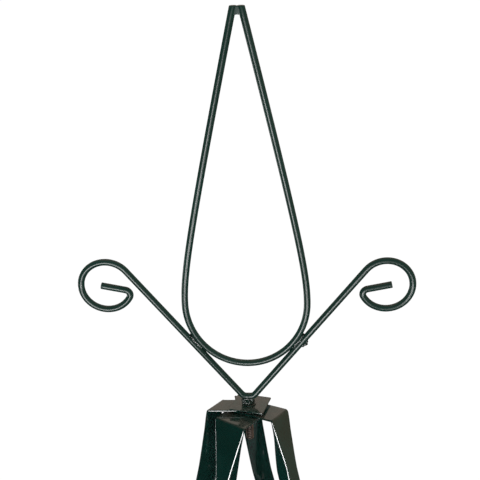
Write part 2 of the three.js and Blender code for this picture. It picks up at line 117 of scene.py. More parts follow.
# ---------------------------------------------------------------- node helpers
class Nodes:
    """Short calls for building one node tree."""

    def __init__(self, tree):
        self.tree = tree
        tree.nodes.clear()

    def add(self, kind, inputs=None, **settings):
        node = self.tree.nodes.new(kind)
        for key, value in settings.items():
            setattr(node, key, value)
        for key, value in (inputs or {}).items():
            if isinstance(value, bpy.types.NodeSocket):
                self.tree.links.new(value, node.inputs[key])
            else:
                node.inputs[key].default_value = value
        return node

    def noise(self, vector, scale, detail=3.0, roughness=0.55, distortion=0.0):
        return self.add("ShaderNodeTexNoise", {
            "Vector": vector, "Scale": scale, "Detail": detail,
            "Roughness": roughness, "Distortion": distortion}).outputs["Fac"]

    def band(self, value, low, high, to_low=0.0, to_high=1.0, smooth=True):
        return self.add("ShaderNodeMapRange", {
            "Value": value, "From Min": low, "From Max": high, "To Min": to_low, "To Max": to_high},
            interpolation_type="SMOOTHSTEP" if smooth else "LINEAR").outputs["Result"]

    def math(self, operation, a, b=0.0, clamp=False):
        return self.add("ShaderNodeMath", {0: a, 1: b}, operation=operation, use_clamp=clamp).outputs[0]

    def mix(self, factor, a, b):
        node = self.add("ShaderNodeMix", data_type="RGBA")
        for index, value in ((0, factor), (6, a), (7, b)):
            if isinstance(value, bpy.types.NodeSocket):
                self.tree.links.new(value, node.inputs[index])
            else:
                node.inputs[index].default_value = value
        return node.outputs[2]

    def bump(self, height, strength, distance, normal=None):
        inputs = {"Height": height, "Strength": strength, "Distance": distance}
        if normal is not None:
            inputs["Normal"] = normal
        return self.add("ShaderNodeBump", inputs).outputs["Normal"]


def material(name):
    made = bpy.data.materials.new(name)
    made.use_nodes = True
    return made, Nodes(made.node_tree)


def rgba(r, g, b):
    return (r, g, b, 1.0)


# ---------------------------------------------------------------- materials
def green_paint(name, low_rough, high_rough, flow, ior, coat, chalk):
    """Gloss enamel: flow ripples, thin worn paint on the corners, and a brown film on upward faces, partly
    dust and partly a painted reflection of a warm room.
    """
    made, n = material(name)
    place = n.add("ShaderNodeTexCoord").outputs["Object"]
    broad = n.noise(place, 22, 3)
    patch = n.noise(place, 95, 4, 0.6)
    fine = n.noise(place, 900, 2)
    colour = n.mix(n.band(broad, 0.35, 0.68), rgba(0.0007, 0.0140, 0.0105), rgba(0.0014, 0.0205, 0.0160))
    colour = n.mix(n.band(patch, 0.5, 0.75, 0.0, 0.45), colour, rgba(0.0022, 0.0185, 0.0125))
    colour = n.mix(n.band(fine, 0.3, 0.7, 0.7 * chalk, chalk), colour, rgba(0.032, 0.070, 0.052))

    edge = n.add("ShaderNodeAttribute", attribute_name="edge").outputs["Fac"]
    worn = n.math("MULTIPLY", edge, n.band(n.noise(place, 160, 5, 0.7), 0.52, 0.66), clamp=True)
    colour = n.mix(n.math("MULTIPLY", worn, 0.75), colour, rgba(0.05, 0.055, 0.05))

    facing_up = n.add("ShaderNodeSeparateXYZ", {
        "Vector": n.add("ShaderNodeNewGeometry").outputs["Normal"]}).outputs["Z"]
    # Brown on upward faces: partly dust, partly a painted reflection of a warm room.
    dust_and_painted_sheen = n.math("MULTIPLY", n.band(facing_up, 0.55, 0.95), n.band(patch, 0.3, 0.65, 0.2, 1.0))
    dust_and_painted_sheen = n.math("MULTIPLY", dust_and_painted_sheen, n.band(fine, 0.25, 0.75, 0.75, 1.0))
    colour = n.mix(n.math("MULTIPLY", dust_and_painted_sheen, 0.55), colour, rgba(0.060, 0.045, 0.033))

    rough = n.band(patch, 0.3, 0.75, low_rough, high_rough)
    rough = n.math("ADD", rough, n.math("MULTIPLY", dust_and_painted_sheen, 0.10))
    rough = n.math("ADD", rough, n.math("MULTIPLY", worn, 0.15), clamp=True)
    ripple = n.bump(n.noise(place, 48, 2), flow, 0.0012)
    peel = n.bump(n.noise(place, 420, 2), 0.4 * flow, 0.0003, ripple)
    specks = n.add("ShaderNodeTexVoronoi", {"Vector": place, "Scale": 240.0}).outputs["Distance"]
    grit = n.bump(n.band(specks, 0.05, 0.16, 1.0, 0.0), 0.25 * flow, 0.00025, peel)
    shader = n.add("ShaderNodeBsdfPrincipled", {
        "Base Color": colour, "Roughness": rough, "Normal": grit, "IOR": ior,
        "Coat Weight": coat, "Coat Roughness": 0.06})
    n.add("ShaderNodeOutputMaterial", {"Surface": shader.outputs[0]})
    return made


def weld_paint():
    """The same enamel over rough weld metal: pitted, with bright specks painted on as glints."""
    made, n = material("green_enamel_on_weld")
    place = n.add("ShaderNodeTexCoord").outputs["Object"]
    patch = n.noise(place, 500, 5, 0.65)
    colour = n.mix(n.band(patch, 0.35, 0.65), rgba(0.003, 0.012, 0.009), rgba(0.009, 0.026, 0.019))
    # Painted glints: bright specks placed by a noise.
    painted_glints = n.band(n.noise(place, 760, 3, 0.6), 0.62, 0.7)
    colour = n.mix(painted_glints, colour, rgba(0.16, 0.19, 0.17))
    rough = n.band(patch, 0.3, 0.7, 0.14, 0.34)
    lumps = n.bump(n.noise(place, 520, 4, 0.6), 0.55, 0.0009)
    shader = n.add("ShaderNodeBsdfPrincipled", {
        "Base Color": colour, "Roughness": rough, "Normal": lumps, "IOR": 1.5, "Coat Weight": 0.3,
        "Coat Roughness": 0.08})
    n.add("ShaderNodeOutputMaterial", {"Surface": shader.outputs[0]})
    return made


def bolt_steel(name, painted_root_shade):
    """Zinc-plated steel gone dull and brown, with rust starting, painted shade in a thread's roots and a
    painted highlight along its crests.
    """
    made, n = material(name)
    place = n.add("ShaderNodeTexCoord").outputs["Object"]
    patch = n.noise(place, 130, 5, 0.65)
    grain = n.noise(place, 1400, 3)
    colour = n.mix(n.band(patch, 0.32, 0.7), rgba(0.115, 0.088, 0.078), rgba(0.26, 0.215, 0.19))
    rust = n.band(n.noise(place, 310, 6, 0.7, 0.6), 0.54, 0.66)
    colour = n.mix(n.math("MULTIPLY", rust, 0.7), colour, rgba(0.10, 0.038, 0.018))
    edge = n.add("ShaderNodeAttribute", attribute_name="edge").outputs["Fac"]
    # Painted shade: darker in a thread's roots, by the amount given.
    colour = n.mix(n.band(edge, 0.1, 0.75, painted_root_shade, 0.0), colour, rgba(0.016, 0.009, 0.007))
    # Painted highlight: lighter along a thread's crests.
    colour = n.mix(n.math("MULTIPLY", edge, 0.55), colour, rgba(0.33, 0.27, 0.23))
    metal = n.band(rust, 0.0, 1.0, 0.85, 0.15)
    rough = n.math("ADD", n.band(patch, 0.3, 0.7, 0.34, 0.5), n.math("MULTIPLY", rust, 0.3), clamp=True)
    pits = n.bump(grain, 0.2, 0.0002)
    pits = n.bump(rust, 0.25, 0.0002, pits)
    shader = n.add("ShaderNodeBsdfPrincipled", {
        "Base Color": colour, "Metallic": metal, "Roughness": rough, "Normal": pits})
    n.add("ShaderNodeOutputMaterial", {"Surface": shader.outputs[0]})
    return made


def foot_plastic():
    """Moulded dark green plastic: fine spark texture, scuffs, and soil on the lowest part."""
    made, n = material("moulded_plastic")
    place = n.add("ShaderNodeTexCoord").outputs["Object"]
    patch = n.noise(place, 70, 4)
    colour = n.mix(n.band(patch, 0.3, 0.7), rgba(0.010, 0.020, 0.016), rgba(0.017, 0.030, 0.024))
    scuff = n.band(n.noise(place, 330, 6, 0.75, 1.2), 0.6, 0.7)
    colour = n.mix(n.math("MULTIPLY", scuff, 0.5), colour, rgba(0.06, 0.07, 0.062))
    height = n.add("ShaderNodeSeparateXYZ", {"Vector": place}).outputs["Z"]
    soil = n.math("MULTIPLY", n.band(height, 0.0, 0.014, 1.0, 0.0), n.band(patch, 0.35, 0.6))
    colour = n.mix(n.math("MULTIPLY", soil, 0.7), colour, rgba(0.055, 0.042, 0.03))
    rough = n.math("ADD", n.band(patch, 0.3, 0.7, 0.46, 0.58), n.math("MULTIPLY", soil, 0.25), clamp=True)
    grain = n.bump(n.noise(place, 1700, 2), 0.3, 0.0002)
    shader = n.add("ShaderNodeBsdfPrincipled", {
        "Base Color": colour, "Roughness": rough, "Normal": grain})
    n.add("ShaderNodeOutputMaterial", {"Surface": shader.outputs[0]})
    return made


def floor_paper():
    """Pale matt studio paper."""
    made, n = material("studio_paper")
    place = n.add("ShaderNodeTexCoord").outputs["Object"]
    fibre = n.noise(place, 6, 3)
    colour = n.mix(n.band(fibre, 0.3, 0.7), rgba(0.885, 0.885, 0.885), rgba(0.9, 0.9, 0.9))
    shader = n.add("ShaderNodeBsdfPrincipled", {
        "Base Color": colour, "Roughness": 0.9, "Specular IOR Level": 0.0})
    n.add("ShaderNodeOutputMaterial", {"Surface": shader.outputs[0]})
    return made


PAINT = green_paint("green_enamel", 0.10, 0.19, 0.22, 1.5, 1.0, 0.03)
BAR_PAINT = green_paint("green_enamel_on_bars", 0.20, 0.27, 0.10, 1.32, 0.0, 0.26)
WELD = weld_paint()
STEEL = bolt_steel("browned_zinc", 0.0)
THREAD_STEEL = bolt_steel("browned_zinc_thread", 0.92)
PLASTIC = foot_plastic()


# ---------------------------------------------------------------- mesh helpers
class Shape:
    """Points, faces and a weight for each point, in millimetres: for worn edges, and on a thread for its
    crests, where the material paints shade and a highlight.
    """

    def __init__(self):
        self.points = []
        self.faces = []
        self.wear_and_painted_shading = []

    def skin(self, rings, wear_and_painted_shading=None, looped=False):
        """Joins a row of equal rings. An open row is capped at both ends."""
        start = len(self.points)
        count = len(rings[0])
        for i, ring in enumerate(rings):
            self.points += ring
            self.wear_and_painted_shading += wear_and_painted_shading[i] if wear_and_painted_shading else [0.0] * count
        last = len(rings) if looped else len(rings) - 1
        for k in range(last):
            a = start + k * count
            b = start + (k + 1) % len(rings) * count
            for i in range(count):
                j = (i + 1) % count
                self.faces.append((a + i, a + j, b + j, b + i))
        if not looped:
            end = start + (len(rings) - 1) * count
            self.faces.append(tuple(reversed(range(start, start + count))))
            self.faces.append(tuple(range(end, end + count)))
        return self

    def mesh(self, name):
        made = bpy.data.meshes.new(name)
        made.from_pydata([Vector(p) * MM for p in self.points], [], self.faces)
        layer = made.attributes.new("edge", "FLOAT", "POINT")
        layer.data.foreach_set("value", self.wear_and_painted_shading)
        work = bmesh.new()
        work.from_mesh(made)
        bmesh.ops.recalc_face_normals(work, faces=work.faces)
        work.to_mesh(made)
        work.free()
        return made


def loose_object(name, mesh):
    made = bpy.data.objects.new(name, mesh)
    bpy.context.scene.collection.objects.link(made)
    return made


def baked(obj):
    """Replaces an object's mesh with the result of its modifiers."""
    bpy.context.view_layer.update()
    graph = bpy.context.evaluated_depsgraph_get()
    mesh = bpy.data.meshes.new_from_object(obj.evaluated_get(graph), depsgraph=graph)
    obj.modifiers.clear()
    obj.data = mesh
    return obj


def cut(obj, shapes):
    """Cuts closed shapes out of an object."""
    for i, shape in enumerate(shapes):
        tool = loose_object(f"cutter_{i}", shape.mesh("cutter"))
        boolean = obj.modifiers.new("cut", "BOOLEAN")
        boolean.operation = "DIFFERENCE"
        boolean.solver = "EXACT"
        boolean.object = tool
        baked(obj)
        bpy.data.objects.remove(tool)
    return obj


def smooth(obj, angle=38, bevel=0.0, weighted=True):
    """Smooth shading with sharp creases, softened by a small bevel where one is asked for."""
    mesh = obj.data
    for polygon in mesh.polygons:
        polygon.use_smooth = True
    if bevel:
        soft = obj.modifiers.new("soft_edges", "BEVEL")
        soft.width = bevel * MM
        soft.segments = 3
        soft.limit_method = "ANGLE"
        soft.angle_limit = math.radians(angle)
    else:
        mesh.set_sharp_from_angle(angle=math.radians(angle))
    if weighted:
        normals = obj.modifiers.new("flat_faces", "WEIGHTED_NORMAL")
        normals.keep_sharp = True
    return obj


def piece(name, obj, body, surface, stands_for=None):
    """Gives a finished object its name, surface and body, and hides the solid that it stands for."""
    obj.name = name
    obj.data.name = name
    obj.data.materials.clear()
    obj.data.materials.append(surface)
    if stands_for:
        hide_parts(stands_for)
    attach(obj, body)


def moved(shape, matrix):
    shape.points = [matrix @ Vector(p) for p in shape.points]
    return shape


def put(obj, matrix):
    """Moves a mesh by a matrix given in millimetres."""
    obj.data.transform(Matrix.Diagonal((1 / MM, 1 / MM, 1 / MM, 1)))
    obj.data.transform(matrix)
    obj.data.transform(Matrix.Diagonal((MM, MM, MM, 1)))


def rounded_bar(frames, radius, sides=24, round_off=0.7, ends=True):
    """A round bar through frames of centre, first axis and second axis, with softly rounded ends."""
    def circle(centre, first, second, r):
        return [centre + first * (r * math.cos(2 * math.pi * i / sides))
                + second * (r * math.sin(2 * math.pi * i / sides)) for i in range(sides)]
    rings = [circle(c, a, b, radius) for c, a, b in frames]
    wear_and_painted_shading = [[0.0] * sides for _ in rings]
    if ends:
        for at, other in ((0, 1), (-1, -2)):
            centre, first, second = frames[at]
            out = (centre - frames[other][0]).normalized()
            lip = []
            for k in range(1, 4):
                angle = math.pi / 2 * k / 3
                lip.append(circle(centre - out * round_off * (1 - math.sin(angle)), first, second,
                                  radius - round_off * (1 - math.cos(angle))))
            base = circle(centre - out * round_off, first, second, radius)
            stack = [base] + lip
            marks = [[0.3] * sides] * len(stack)
            if at == 0:
                rings[0:1] = stack[::-1]
                wear_and_painted_shading[0:1] = marks
            else:
                rings[-1:] = stack
                wear_and_painted_shading[-1:] = marks
    return rings, wear_and_painted_shading


def prism(outline, low, high):
    return Shape().skin([[Vector((x, y, z)) for x, y in outline] for z in (low, high)])


def hexagon(across_flats):
    r = across_flats / math.sqrt(3)
    return [(r * math.cos(math.radians(60 * i)), r * math.sin(math.radians(60 * i))) for i in range(6)]


def round_outline(diameter, sides=40):
    return [(diameter / 2 * math.cos(2 * math.pi * i / sides),
             diameter / 2 * math.sin(2 * math.pi * i / sides)) for i in range(sides)]


def place(origin, x, y, z):
    return Matrix.Translation(origin) @ Matrix((x, y, z)).transposed().to_4x4()


def blob(name, lumps, voxel, body):
    """A run of weld: overlapping lumps fused into one skin. Each lump is a centre and three half sizes."""
    work = bmesh.new()
    for centre, sizes in lumps:
        grow = Matrix.Translation(Vector(centre) * MM) @ Matrix.Diagonal((*[s * MM for s in sizes], 1.0))
        bmesh.ops.create_icosphere(work, subdivisions=3, radius=1.0, matrix=grow)
    mesh = bpy.data.meshes.new(name)
    work.to_mesh(mesh)
    work.free()
    obj = loose_object(name, mesh)
    fuse = obj.modifiers.new("fuse", "REMESH")
    fuse.mode = "VOXEL"
    fuse.voxel_size = voxel * MM
    ease = obj.modifiers.new("ease", "SMOOTH")
    ease.factor = 0.5
    ease.iterations = 3
    baked(obj)
    for polygon in obj.data.polygons:
        polygon.use_smooth = True
    piece(name, obj, body, WELD)


# ---------------------------------------------------------------- the finial
class BenchPath:
    """The centre line of a bar bent on a flat bench, as points in the XZ plane."""

    def __init__(self, x, z, heading):
        self.points = [Vector((x, 0, z))]
        self.heading = heading

    def step(self, length, direction):
        angle = math.radians(direction)
        self.points.append(self.points[-1] + Vector((math.cos(angle), 0, math.sin(angle))) * length)

    def straight(self, length, pieces=8):
        for _ in range(pieces):
            self.step(length / pieces, self.heading)
        return self

    def bend(self, radius, degrees, step_degrees=4):
        steps = max(1, round(abs(degrees) / step_degrees))
        turn = degrees / steps
        chord = 2 * radius * math.sin(math.radians(abs(turn)) / 2)
        for _ in range(steps):
            self.step(chord, self.heading + turn / 2)
            self.heading += turn
        return self


V_BAR_Z = WASHER_T + HEAD_HEIGHT + 2 * GAP + ROD / 2
V_ANGLE = 51.5
V_LINE_Z = 2.4
SCROLL_X, SCROLL_RADIUS = 132.3, 24.5
HOOK_RADIUS = 5.3
HOOK_TAIL = 23.5
HOOK_TAIL_ANGLE = 11.5

LOOP_BOTTOM_Z, LOOP_WIDE_Z, LOOP_SHOULDER_Z = 45.9, 110, 140
LOOP_HALF_WIDTH = 58.3
LOOP_PULL_Z = 178
LOOP_SIDE_X, LOOP_SIDE_Z = 8.15, 368  # a point that the straight side runs through
LOOP_LEAN = 0.2287  # how far the side comes in for each millimetre up
TIP_Z = 388.6
TIP_FILL_BOTTOM = 380.8
TIP_FILL_HALF_WIDTH = 4.6


def v_bar_half():
    """Half of the V: a flat bottom, the bend into the arm, the arm, the scroll and its hooked tail."""
    tan = math.tan(math.radians(V_ANGLE))
    arm_bend = 6
    corner_x = (V_BAR_Z - V_LINE_Z) / tan
    tangent = arm_bend * math.tan(math.radians(V_ANGLE / 2))
    touch_x = SCROLL_X - SCROLL_RADIUS * math.sin(math.radians(V_ANGLE))
    arm = (touch_x - corner_x) / math.cos(math.radians(V_ANGLE)) - tangent
    turn = V_ANGLE + 240
    path = BenchPath(0, V_BAR_Z, 0).straight(corner_x - tangent, 2).bend(arm_bend, V_ANGLE)
    path.straight(arm, 40).bend(SCROLL_RADIUS, -turn)
    path.bend(HOOK_RADIUS, -(360 + V_ANGLE - turn - HOOK_TAIL_ANGLE), 8).straight(HOOK_TAIL, 6)
    return path.points


def loop_half(top_z):
    """Half of the teardrop: a quarter of an oval, then one curve into the straight side."""
    points = []
    for i in range(24):
        angle = i / 24 * math.pi / 2
        points.append(Vector((LOOP_HALF_WIDTH * math.sin(angle), 0,
                              LOOP_WIDE_Z - (LOOP_WIDE_Z - LOOP_BOTTOM_Z) * math.cos(angle))))

    def side_x(z):
        return LOOP_SIDE_X - (z - LOOP_SIDE_Z) * LOOP_LEAN
    corner = [Vector((LOOP_HALF_WIDTH, 0, LOOP_WIDE_Z)), Vector((LOOP_HALF_WIDTH, 0, LOOP_SHOULDER_Z)),
              Vector((side_x(LOOP_PULL_Z), 0, LOOP_PULL_Z)), Vector((side_x(TIP_Z + 2), 0, TIP_Z + 2))]
    for i in range(61):
        t = i / 60
        s = 1 - t
        points.append(corner[0] * s ** 3 + corner[1] * (3 * s * s * t) + corner[2] * (3 * s * t * t)
                      + corner[3] * t ** 3)
    points.append(Vector((side_x(top_z), 0, top_z)))
    return points


def both_halves(half):
    return [Vector((-p.x, 0, p.z)) for p in reversed(half)] + half[1:]


def bench_frames(points):
    """Centre, in-plane normal and bench normal at every point of a bench path."""
    frames = []
    for i, point in enumerate(points):
        ahead = points[min(i + 1, len(points) - 1)] - points[max(i - 1, 0)]
        ahead.normalize()
        frames.append((point, Vector((-ahead.z, 0, ahead.x)), Vector((0, 1, 0))))
    return frames


FINIAL = Matrix.Translation((0, 0, CROWN_Z)) @ Matrix.Rotation(math.radians(FINIAL_TURN), 4, "Z")
V_POINTS = both_halves(v_bar_half())
LOOP_POINTS = both_halves(loop_half(TIP_Z + 6))


def finial_v_bar():
    rings, wear_and_painted_shading = rounded_bar(bench_frames(V_POINTS), ROD / 2 + ENAMEL)
    shape = moved(Shape().skin(rings, wear_and_painted_shading), FINIAL)
    obj = smooth(loose_object("v_bar", shape.mesh("v_bar")), 60, weighted=False)
    piece("finial_v_bar_round", obj, "finial", BAR_PAINT, "finial_v_bar")


def finial_loop():
    """The teardrop, its two bar ends cut off level at the tip."""
    rings, wear_and_painted_shading = rounded_bar(bench_frames(LOOP_POINTS), ROD / 2 + ENAMEL, ends=False)
    mesh = Shape().skin(rings, wear_and_painted_shading).mesh("loop")
    work = bmesh.new()
    work.from_mesh(mesh)
    everything = work.verts[:] + work.edges[:] + work.faces[:]
    sliced = bmesh.ops.bisect_plane(
        work, geom=everything, plane_co=(0, 0, TIP_Z * MM), plane_no=(0, 0, 1), clear_outer=True)
    rim = [e for e in sliced["geom_cut"] if isinstance(e, bmesh.types.BMEdge)]
    bmesh.ops.holes_fill(work, edges=rim)
    rim = [e for e in work.edges if all(abs(v.co.z - TIP_Z * MM) < 1e-7 for v in e.verts)]
    bmesh.ops.bevel(work, geom=rim, offset=0.6 * MM, segments=3, profile=0.5, affect="EDGES")
    turned = Matrix.Rotation(math.radians(FINIAL_TURN), 4, "Z")
    work.transform(Matrix.Translation((0, 0, CROWN_Z * MM)) @ turned)
    bmesh.ops.recalc_face_normals(work, faces=work.faces)
    work.to_mesh(mesh)
    work.free()
    obj = smooth(loose_object("loop", mesh), 60, weighted=False)
    piece("finial_loop_round", obj, "finial", BAR_PAINT, "finial_loop")


def tip_weld():
    """Weld that fills the angle between the two ends, hollow faced and arched underneath."""
    rings = []
    for i in range(17):
        x = -TIP_FILL_HALF_WIDTH + 2 * TIP_FILL_HALF_WIDTH * i / 16
        u = abs(x) / TIP_FILL_HALF_WIDTH
        half_depth = 2.15 + 0.35 * u * u
        low = TIP_FILL_BOTTOM + 0.3 - 1.9 * u * u
        high = TIP_Z - 0.25
        r = 0.7
        ring = []
        for cy, cz, start in ((half_depth - r, low + r, -90), (half_depth - r, high - r, 0),
                              (-half_depth + r, high - r, 90), (-half_depth + r, low + r, 180)):
            for k in range(5):
                angle = math.radians(start + 90 * k / 4)
                ring.append(Vector((x, cy + r * math.cos(angle), cz + r * math.sin(angle))))
        rings.append(ring)
    shape = moved(Shape().skin(rings), FINIAL)
    obj = smooth(loose_object("tip", shape.mesh("tip")), 50)
    piece("finial_tip_weld", obj, "finial", BAR_PAINT)


def contact(side):
    """Where the loop lies against one arm of the V: the middle, and the arm's direction there."""
    arm = [p for p in V_POINTS if p.x * side > 20 and p.z < 100]
    loop = [p for p in LOOP_POINTS if p.x * side > 15 and p.z < LOOP_WIDE_Z]
    a, b = min(((p, q) for p in arm for q in loop), key=lambda pair: (pair[0] - pair[1]).length)
    direction = Vector((side * math.cos(math.radians(V_ANGLE)), 0, math.sin(math.radians(V_ANGLE))))
    return a, b, direction


def loop_welds():
    """Tack welds on both faces where the loop lies against the arms, with a little spatter."""
    for side, label, seed in ((-1, "left", 5), (1, "right", 12)):
        chance = random.Random(seed)
        on_arm, on_loop, direction = contact(side)
        middle = (on_arm + on_loop) / 2
        across = (on_loop - on_arm).normalized()
        lumps = []
        for face in (-1, 1):
            for i in range(9):
                t = -3 + 16 * i / 8
                centre = middle + direction * t + Vector((0, face * (1.5 + chance.uniform(-0.1, 0.3)), 0))
                centre += across * chance.uniform(-0.5, 0.5)
                size = 1.85 - 0.012 * (t - 5) ** 2 + chance.uniform(-0.2, 0.3)
                lumps.append((FINIAL @ centre, (size * 1.05, size * 0.8, size)))
        if side > 0:
            for t, out, size in ((3.2, 3.0, 1.9), (6.2, 3.8, 2.2), (8.8, 3.2, 1.7), (6.6, 5.2, 1.1)):
                lumps.append((FINIAL @ (on_arm + direction * t - across * out), (size, size, size)))
        for _ in range(12):
            angle = chance.uniform(0, 2 * math.pi)
            near = on_arm + direction * chance.uniform(-12, 14)
            outward = across * math.cos(angle) + Vector((0, math.sin(angle), 0))
            size = chance.uniform(0.35, 0.6)
            lumps.append((FINIAL @ (near + outward * (ROD / 2 - 0.05)), (size, size, size)))
        blob(f"finial_weld_{label}", lumps, 0.16, "finial")


def apex_weld():
    """The weld that holds the bottom of the V on the bolt's head."""
    chance = random.Random(3)
    lumps = []
    top = WASHER_T + GAP + HEAD_HEIGHT
    for face in (-1, 1):
        for i in range(8):
            x = -4.2 + 8.4 * i / 7
            y = face * (2.75 + chance.uniform(-0.2, 0.3))
            centre = Vector((x, y, top + 0.75 + chance.uniform(-0.3, 0.5)))
            size = 1.35 + chance.uniform(-0.2, 0.35)
            lumps.append((FINIAL @ centre, (size, size * 0.8, size)))
    for i in range(46):
        angle = math.radians(150 + 150 * chance.random() if i % 3 else 360 * chance.random())
        reach = 5.0 + chance.uniform(-0.2, 0.6) - 0.8 * math.cos(angle)
        size = chance.uniform(0.9, 1.55)
        z = max(WASHER_T + GAP + chance.uniform(0.0, HEAD_HEIGHT), WASHER_T + GAP + size)
        centre = Vector((reach * math.cos(angle), reach * math.sin(angle), z))
        lumps.append((FINIAL @ centre, (size, size, size)))
    for _ in range(12):
        x = chance.uniform(-6.5, 6.5)
        face = chance.choice((-1, -1, 1))
        rise = max(0.0, abs(x) - 4.6) * math.tan(math.radians(V_ANGLE))
        centre = Vector((x, face * 2.85, V_BAR_Z + rise + chance.uniform(-1.0, 1.2)))
        size = chance.uniform(0.35, 0.6)
        lumps.append((FINIAL @ centre, (size, size, size)))
    blob("finial_weld_apex", lumps, 0.16, "finial")


def bolt():
    """Hexagon head with softened corners, a plain neck and a coarse rolled thread to the end."""
    head = prism(hexagon(HEAD_ACROSS_FLATS), WASHER_T + GAP, WASHER_T + GAP + HEAD_HEIGHT)
    obj = loose_object("head", moved(head, FINIAL).mesh("head"))
    smooth(obj, 38, bevel=0.7)
    baked(obj)
    piece("finial_bolt_head", obj, "finial", WELD)

    sides, per_turn = 40, 10
    low = -BOLT_BELOW_PLATE
    rings = []
    wear_and_painted_shading = []
    count = int((NECK_Z - low) / THREAD_PITCH * per_turn) + 1
    levels = [low + i * THREAD_PITCH / per_turn for i in range(count)]
    levels += [NECK_Z + 0.4, -4.0, WASHER_T + GAP + 0.5]
    for z in levels:
        ring = []
        marks = []
        for i in range(sides):
            around = i / sides
            phase = (z / THREAD_PITCH - around) % 1.0
            crest = 1 - abs(2 * phase - 1)
            crest = min(1.0, max(0.0, (crest - 0.12) / 0.76))
            threaded = z <= NECK_Z
            run_out = min(1.0, (z - low) / 0.7)
            r = BOLT_D / 2 - (THREAD_DEPTH * (1 - crest) if threaded else 0.25)
            r = min(r, BOLT_D / 2 - 0.6 + 0.6 * run_out)
            angle = 2 * math.pi * around
            ring.append(Vector((r * math.cos(angle), r * math.sin(angle), z)))
            # The crest weight goes to the edge attribute, where the thread's material paints shade in the
            # roots and a highlight on the crests.
            marks.append(crest if threaded else 0.0)
        rings.append(ring)
        wear_and_painted_shading.append(marks)
    shank = moved(Shape().skin(rings, wear_and_painted_shading), Matrix.Translation((0, 0, CROWN_Z)))
    obj = smooth(loose_object("shank", shank.mesh("shank")), 50, weighted=False)
    piece("finial_bolt_threaded", obj, "finial", THREAD_STEEL, "finial_bolt")


def flat_washer(name, node, diameter, thickness, low, surface):
    obj = loose_object(name, prism(round_outline(diameter, 48), low, low + thickness).mesh(name))
    cut(obj, [prism(round_outline(BOLT_HOLE_D, 40), low - 5, low + 10)])
    obj.data.transform(Matrix.Translation((0, 0, CROWN_Z * MM)))
    smooth(obj, 38, bevel=0.25)
    piece(name, baked(obj), "root", surface, node)


def crown_plate():
    """A sheared, nearly square plate with a punched hole a little off centre, its edges worn."""
    r, steps = 0.9, 14
    reach_x, reach_y = PLATE_LENGTH / 2 - r, PLATE_WIDTH / 2 - r
    grid = Shape()
    outline = []
    for sx, sy, start in ((1, -1, -90), (1, 1, 0), (-1, 1, 90), (-1, -1, 180)):
        for k in range(5):
            angle = math.radians(start + 90 * k / 4)
            outline.append((PLATE_CENTRE[0] + sx * reach_x + r * math.cos(angle),
                            PLATE_CENTRE[1] + sy * reach_y + r * math.sin(angle)))
    dense = []
    for i, (x, y) in enumerate(outline):
        nx, ny = outline[(i + 1) % len(outline)]
        pieces = steps if math.hypot(nx - x, ny - y) > 5 else 1
        dense += [(x + (nx - x) * k / pieces, y + (ny - y) * k / pieces) for k in range(pieces)]
    hole = BOLT_HOLE_D / 2
    rows = []
    marks = []
    for share, z, wear_and_painted_shading in ((0, -PLATE_T, 0), (0.25, -PLATE_T, 0), (0.55, -PLATE_T, 0), (0.8, -PLATE_T, 0),
                           (0.985, -PLATE_T, 0.4), (1.0, -PLATE_T + 0.25, 1), (1.0, -PLATE_T / 2, 1),
                           (1.0, -0.22, 1), (0.988, 0, 1), (0.965, 0, 0.3), (0.8, 0, 0), (0.55, 0, 0),
                           (0.25, 0, 0), (0, 0, 0)):
        ring = []
        for x, y in dense:
            angle = math.atan2(y, x)
            inner = Vector((hole * math.cos(angle), hole * math.sin(angle), 0))
            point = inner.lerp(Vector((x, y, 0)), share)
            ring.append(point + UP * z)
        rows.append(ring)
        marks.append([float(wear_and_painted_shading)] * len(dense))
    grid.skin(rows, marks, looped=True)
    turn = Matrix.Translation((0, 0, CROWN_Z)) @ Matrix.Rotation(math.radians(PLATE_TURN), 4, "Z")
    obj = smooth(loose_object("plate", moved(grid, turn).mesh("plate")), 50)
    piece("crown_plate_sheared", obj, "root", PAINT, "crown_plate")


def hex_nut(name, node, across_flats, height, hole, matrix, body):
    """A hexagon nut with its corners turned off at both faces."""
    obj = loose_object(name, prism(hexagon(across_flats), 0, height).mesh(name))
    cut(obj, [prism(round_outline(hole, 28), -5, height + 5)])
    put(obj, matrix)
    smooth(obj, 38, bevel=0.35)
    piece(name, baked(obj), body, STEEL, node)


# ---------------------------------------------------------------- the legs
WALL_STEPS = 4


def tube_section(width, thickness, corner, pinch=0.0, steps=5):
    """A rounded rectangle: x across the leg, y inward from the outer face, and an edge weight."""
    r = min(corner, thickness * 0.45)
    centres = [(width / 2 - r, r, -90), (width / 2 - r, thickness - r, 0),
               (-width / 2 + r, thickness - r, 90), (-width / 2 + r, r, 180)]
    arcs = []
    for x, y, start in centres:
        arcs.append([(x + r * math.cos(math.radians(start + 90 * i / steps)),
                      y + r * math.sin(math.radians(start + 90 * i / steps)),
                      math.sin(math.pi * i / steps)) for i in range(steps + 1)])
    points = []
    for k, arc in enumerate(arcs):
        points += arc
        x0, y0, _ = arc[-1]
        x1, y1, _ = arcs[(k + 1) % 4][0]
        for i in range(1, WALL_STEPS):
            t = i / WALL_STEPS
            x, y = x0 + (x1 - x0) * t, y0 + (y1 - y0) * t
            if k % 2 == 0:
                x -= math.copysign(pinch * math.sin(math.pi * t), x)
            points.append((x, y, 0.0))
    return points


